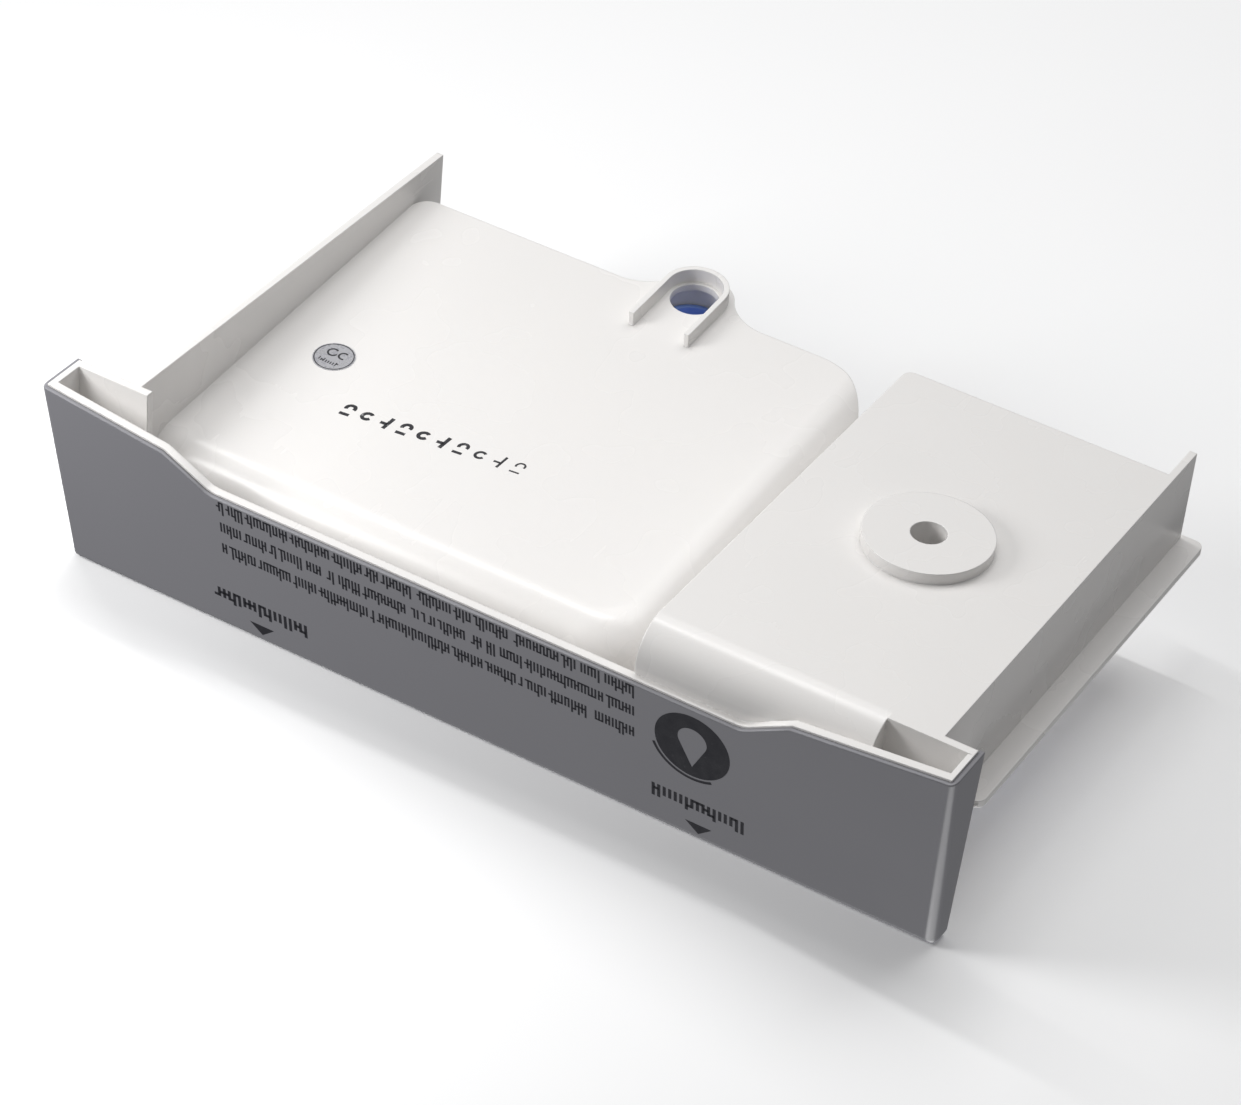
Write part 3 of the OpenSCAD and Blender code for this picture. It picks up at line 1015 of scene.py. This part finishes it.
@dataclass
class FloorStamp:
    """A stamped row of marks under the detergent floor, thinning out at one end.

    Its ends are in millimetres, across from the middle and back from the tray's front.
    """

    finishes: FinishSet
    count: int = 10
    full_marks: int = 5
    fading: float = 0.6
    lean: float = 0.18
    start: tuple[float, float] = (80.6, 56.9)
    end: tuple[float, float] = (27.5, 62.1)
    height: float = 5.2 * MM
    width: float = 3.0 * MM
    stroke: float = 1.15 * MM
    film: float = PRINT_FILM
    lift: float = 0.004 * MM

    def _plane(self) -> tuple[Matrix, float]:
        """Finds the floor's underside from the sticker that lies on it.

        Returns:
            The plane, with X along the row and Z down out of the floor, and the row's length.
        """
        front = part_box("tray")[0].y
        spots = [v.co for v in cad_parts["inspection_sticker"].data.vertices]
        near, far = min(c.y for c in spots), max(c.y for c in spots)
        base = max((c for c in spots if abs(c.y - near) < CAD_WELD), key=lambda c: c.z)
        rear = max((c for c in spots if abs(c.y - far) < CAD_WELD), key=lambda c: c.z)
        fall = (rear.z - base.z) / (rear.y - base.y)
        first = Vector((self.start[0] * MM, front + self.start[1] * MM, 0.0))
        last = Vector((self.end[0] * MM, front + self.end[1] * MM, 0.0))
        for spot in (first, last):
            spot.z = base.z + fall * (spot.y - base.y)
        along = (last - first).normalized()
        down = Vector((0.0, fall, -1.0)).normalized()
        side = down.cross(along).normalized()
        columns = Matrix((along, side, down)).transposed().to_4x4()
        return Matrix.Translation(first + down * self.lift) @ columns, (last - first).length

    def _strokes(self, index: int) -> list[Outline]:
        """Draws one mark, taken in turn from three shapes that spell nothing.

        Args:
            index: The mark's place in the row.

        Returns:
            The middle lines of its strokes.
        """
        w, h = self.width, self.height
        shapes = (
            [arc((w / 2, h * 0.68), w * 0.42, -20.0, 215.0, 14), [(0.0, 0.1 * h), (w, 0.1 * h)]],
            [arc((w / 2, h * 0.5), w * 0.46, 40.0, 330.0, 18)],
            [[(w * 0.75, 0.0), (w * 0.75, h)], [(0.0, h * 0.42), (w * 0.75, h * 0.42)]],
        )
        return [[(x + self.lean * y, y) for x, y in path] for path in shapes[index % len(shapes)]]

    def build(self) -> bpy.types.Object:
        """Makes the stamp.

        Returns:
            All its marks as one piece.
        """
        plane, span = self._plane()
        films = []
        for i in range(self.count):
            late = max(0.0, (i - self.full_marks) / (self.count - self.full_marks))
            stroke = self.stroke * (1.0 - self.fading * late)
            along = span * i / (self.count - 1) - self.width / 2
            place = plane @ Matrix.Translation((along, 0.0, 0.0))
            films += [ink_film([ribbon(path, stroke)], self.film, place) for path in self._strokes(i)]
        piece = joined("floor_stamp", films, self.finishes.stamp_ink)
        return dressed(piece, Body.DRAWER)


@dataclass
class RoundSticker:
    """The foil sticker and the small marks printed on it."""

    ROW_SEED: ClassVar[int] = 5
    finishes: FinishSet
    film: float = 0.02 * MM
    foil_thickness: float = 0.15 * MM
    print_drop: float = 0.09 * MM

    def build(self) -> list[bpy.types.Object]:
        """Makes the foil and its print.

        Returns:
            The foil and the print.
        """
        low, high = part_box("inspection_sticker")
        foil = rounded_copy("inspection_sticker", "sticker_foil", self.finishes.foil)
        centre = (low + high) / 2
        r = (high.x - low.x) / 2
        fall = math.atan2(high.z - low.z - self.foil_thickness, high.y - low.y)
        turn = Matrix.Rotation(math.pi, 4, "Y") @ Matrix.Rotation(fall, 4, "X")
        place = Matrix.Translation((centre.x, centre.y, centre.z - self.print_drop)) @ turn
        marks_drawn = (
            [ring((0.0, 0.0), r * 0.95), ring((0.0, 0.0), r * 0.9)],
            [ribbon(arc((-r * 0.22, r * 0.25), r * 0.24, 50.0, 350.0, 20), r * 0.09)],
            [ribbon(arc((r * 0.36, r * 0.25), r * 0.22, 60.0, 300.0, 20), r * 0.09)],
        )
        films = [ink_film(outlines, self.film, place) for outlines in marks_drawn]
        row = MarkRow(
            length=r * 1.1,
            pitch=0.8 * MM,
            height=1.1 * MM,
            stroke=0.34 * MM,
            depth=self.film,
            seed=self.ROW_SEED,
            kept=1.0,
        )
        row_start = Matrix.Translation((-r * 0.52, -r * 0.55, self.film / 2))
        films.append(MarkRowTree(self.finishes.stamp_ink).mesh(row, place @ row_start))
        marks = joined("sticker_print", films, self.finishes.stamp_ink)
        return [
            dressed(foil, Body.DRAWER, "inspection_sticker"),
            dressed(marks, Body.DRAWER),
        ]


def dressed(
    piece: bpy.types.Object, body: Body, node: str | None = None
) -> bpy.types.Object:
    """Hands a finished piece to its body, and hides the CAD node that it stands for.

    Args:
        piece: The finished piece.
        body: The body it moves with.
        node: The CAD node it replaces, if any.

    Returns:
        The piece.
    """
    if node is not None:
        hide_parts(node)
    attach(piece, body.value)
    LOG.info("%s: %d faces on %s", piece.name, len(piece.data.polygons), body.value)
    return piece


# --- Studio -----------------------------------------------------------------------------------


@dataclass(frozen=True)
class SoftBox:
    """One soft square light."""

    name: str
    place: tuple[float, float, float]
    size: tuple[float, float]
    power: float
    colour: tuple[float, float, float] = (1.0, 1.0, 1.0)
    across: bool = False

    def light(self, aim: Vector) -> None:
        """Hangs the light and turns it to a point.

        Args:
            aim: The point, whose Y gives way to the light's own if its second side lies along X.
        """
        data = bpy.data.lights.new(self.name, "AREA")
        data.shape = "RECTANGLE"
        data.size, data.size_y = self.size
        data.energy = self.power
        data.color = self.colour
        lamp = bpy.data.objects.new(self.name, data)
        lamp.location = self.place
        target = Vector((aim.x, self.place[1], aim.z)) if self.across else aim
        lamp.rotation_euler = (target - Vector(self.place)).to_track_quat("-Z", "Y").to_euler()
        bpy.context.scene.collection.objects.link(lamp)


@dataclass(frozen=True)
class Studio:
    """Papers above and below the drawer, soft lights on both sides, and the camera."""

    finishes: FinishSet
    lens: float = 121.34
    distance: float = 1.1018
    azimuth: float = -27.82
    elevation: float = -37.19
    roll: float = 5.59
    aim: tuple[float, float, float] = (-0.02534, -0.05386, 0.0035)
    sensor_width: float = 36.0
    clip: tuple[float, float] = (0.01, 50.0)
    paper_half: float = 6.0
    paper_gap: float = 0.2 * MM
    ambient: float = 0.22
    ambient_colour: tuple[float, float, float, float] = (0.98, 0.985, 1.0, 1.0)
    backdrop: float = 0.92
    backdrop_colour: tuple[float, float, float, float] = (1.0, 1.0, 1.0, 1.0)
    lights: tuple[SoftBox, ...] = (
        SoftBox("under_key", (0.0, 0.5, -1.3), (1.1, 1.1), 10.6),
        SoftBox("under_strip", (0.486, 0.178, -1.07), (0.05, 0.9), 3.2, across=True),
        SoftBox("front_side", (0.32, -0.28, -0.2), (0.2, 0.2), 1.5),
        SoftBox("over_key", (-0.5, -0.25, 1.5), (1.2, 1.2), 17.0),
    )

    def _paper(self, name: str, height: float, up: bool) -> None:
        """Lays a paper that is seen from one side and lets all light through.

        Args:
            name: The paper's name.
            height: Its height.
            up: Whether its face looks up.
        """
        h = self.paper_half
        corners = [(-h, -h, height), (h, -h, height), (h, h, height), (-h, h, height)]
        mesh = bpy.data.meshes.new(name)
        mesh.from_pydata(corners, [], [(0, 1, 2, 3) if up else (3, 2, 1, 0)])
        paper = object_of(name, mesh, self.finishes.paper)
        paper.visible_shadow = False
        paper.visible_diffuse = False
        paper.visible_glossy = False
        paper.visible_transmission = False

    def _sky(self) -> None:
        """Even light from all round, with a pale backdrop beyond the papers."""
        world = bpy.data.worlds.new("studio")
        world.use_nodes = True
        nodes, links = world.node_tree.nodes, world.node_tree.links
        nodes.clear()
        backdrop, fill = nodes.new("ShaderNodeBackground"), nodes.new("ShaderNodeBackground")
        backdrop.inputs["Strength"].default_value = self.backdrop
        backdrop.inputs["Color"].default_value = self.backdrop_colour
        fill.inputs["Strength"].default_value = self.ambient
        fill.inputs["Color"].default_value = self.ambient_colour
        seen = nodes.new("ShaderNodeLightPath").outputs["Is Camera Ray"]
        mixed, out = nodes.new("ShaderNodeMixShader"), nodes.new("ShaderNodeOutputWorld")
        links.new(seen, mixed.inputs[0])
        links.new(fill.outputs[0], mixed.inputs[1])
        links.new(backdrop.outputs[0], mixed.inputs[2])
        links.new(mixed.outputs[0], out.inputs["Surface"])
        bpy.context.scene.world = world

    def _camera(self) -> None:
        """Sets the camera below the drawer, looking up at its underside."""
        a, e, r = (math.radians(v) for v in (self.azimuth, self.elevation, self.roll))
        back = Vector((math.sin(a) * math.cos(e), -math.cos(a) * math.cos(e), math.sin(e)))
        level = (-back).cross(Vector((0.0, 0.0, -1.0))).normalized()
        rise = level.cross(-back)
        right = level * math.cos(r) + rise * math.sin(r)
        up = rise * math.cos(r) - level * math.sin(r)
        data = bpy.data.cameras.new("camera")
        data.lens = self.lens
        data.sensor_width = self.sensor_width
        data.clip_start, data.clip_end = self.clip
        camera = bpy.data.objects.new("camera", data)
        turn = Matrix((right, up, back)).transposed().to_4x4()
        camera.matrix_world = Matrix.Translation(Vector(self.aim) + back * self.distance) @ turn
        bpy.context.scene.collection.objects.link(camera)
        bpy.context.scene.camera = camera

    def build(self) -> None:
        """Sets up papers, sky, lights and camera."""
        low, high = CAD_BOX
        self._paper("floor_below", low.z - self.paper_gap, True)
        self._paper("floor_above", high.z + self.paper_gap, False)
        self._sky()
        for light in self.lights:
            light.light((low + high) / 2)
        self._camera()
        bpy.context.scene.view_settings.view_transform = "Standard"


def main() -> None:
    """Builds the drawer's pieces in order, then the studio."""
    logging.basicConfig(level=logging.INFO, format="%(name)s %(message)s")
    finishes = FinishSet()
    for maker in (TrayMoulding, FrontCover, LiftCaps, FacePrint, FloorStamp, RoundSticker):
        maker(finishes).build()
    Studio(finishes).build()


if __name__ == "__main__":
    main()
